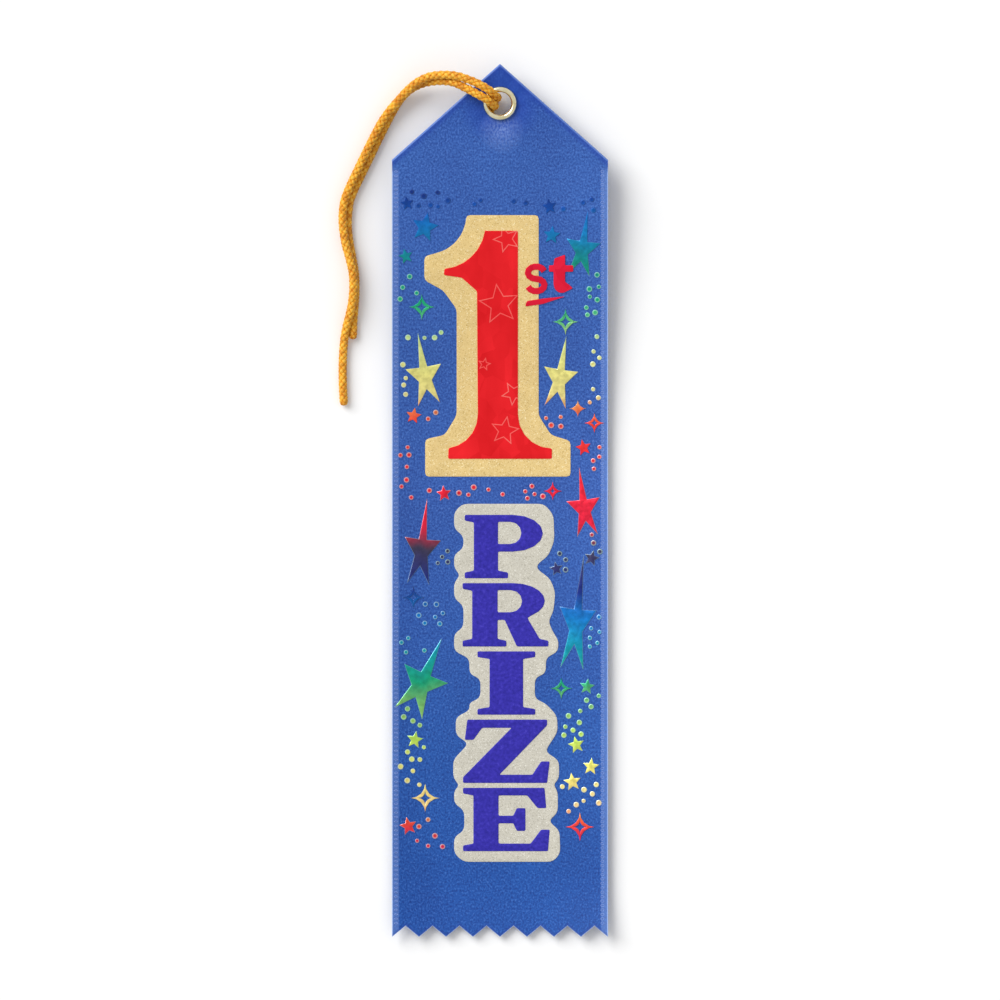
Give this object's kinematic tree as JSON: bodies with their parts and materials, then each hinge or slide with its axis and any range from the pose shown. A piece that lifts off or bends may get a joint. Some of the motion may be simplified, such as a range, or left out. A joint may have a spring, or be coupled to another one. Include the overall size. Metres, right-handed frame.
{
  "type": "award ribbon",
  "caption": "Flat satin award ribbon with a pointed top, eyelet and hanging cord, pinked lower edge and foil-printed rank numeral, word and stars.",
  "frame": {"origin": "middle of the strip's footprint, on the surface it lies on; the cord is not counted", "axes": "+X to the ribbon's right as read, +Y along it towards the pointed tip, +Z out of the printed face"},
  "size_m": [0.0633, 0.2054, 0.0099],
  "materials": {
    "blue_satin": "satin weave, soft sheen",
    "eyelet_brass": "pale, polished",
    "gold_cord": "braided viscose, slight sheen",
    "gold_glitter": "glitter ink",
    "silver_glitter": "glitter ink",
    "red_foil": "metallised hot-stamped foil",
    "violet_foil": "metallised hot-stamped foil",
    "navy_foil": "metallised hot-stamped foil",
    "cyan_foil": "metallised hot-stamped foil",
    "green_foil": "metallised hot-stamped foil",
    "pale_foil": "metallised hot-stamped foil",
    "orange_foil": "metallised hot-stamped foil",
    "magenta_foil": "metallised hot-stamped foil"
  },
  "bodies": {
    "ribbon": {"ribbon_strip": "blue_satin", "eyelet": "eyelet_brass", "eyelet_washer": "eyelet_brass", "numeral_glitter": "gold_glitter", "word_glitter": "silver_glitter", "numeral_foil": "red_foil", "ordinal_s": "red_foil", "ordinal_t": "red_foil", "ordinal_dash": "red_foil", "letter_1_p": "violet_foil", "letter_2_r": "violet_foil", "letter_3_i": "violet_foil", "letter_4_z": "violet_foil", "letter_5_e": "violet_foil", "star_small_01": "navy_foil", "star_small_03": "navy_foil", "star_small_09": "navy_foil", "star_small_10": "navy_foil", "star_large_6": "navy_foil", "sparkle_6": "navy_foil", "star_small_02": "cyan_foil", "star_small_04": "cyan_foil", "star_small_05": "cyan_foil", "star_small_11": "green_foil", "star_large_1": "green_foil", "star_large_7": "green_foil", "sparkle_1": "green_foil", "sparkle_2": "green_foil", "sparkle_7": "green_foil", "star_small_12": "pale_foil", "star_small_13": "pale_foil", "star_small_14": "pale_foil", "star_small_15": "pale_foil", "star_large_2": "pale_foil", "star_large_3": "pale_foil", "sparkle_8": "pale_foil", "star_small_06": "orange_foil", "star_small_07": "orange_foil", "star_small_16": "orange_foil", "star_large_4": "orange_foil", "sparkle_3": "orange_foil", "sparkle_4": "orange_foil", "sparkle_9": "orange_foil", "star_small_08": "magenta_foil", "star_large_5": "magenta_foil", "sparkle_5": "magenta_foil"},
    "cord": {"cord_long_strand": "gold_cord", "cord_short_strand": "gold_cord", "cord_knot": "gold_cord"}
  },
  "joints": [
    {"name": "cord_swing", "type": "hinge", "parent": "ribbon", "child": "cord", "pos_m": [0, 0.09338, 0.0055], "axis": [0, 0, 1], "range_deg": [-150, 5]}
  ]
}
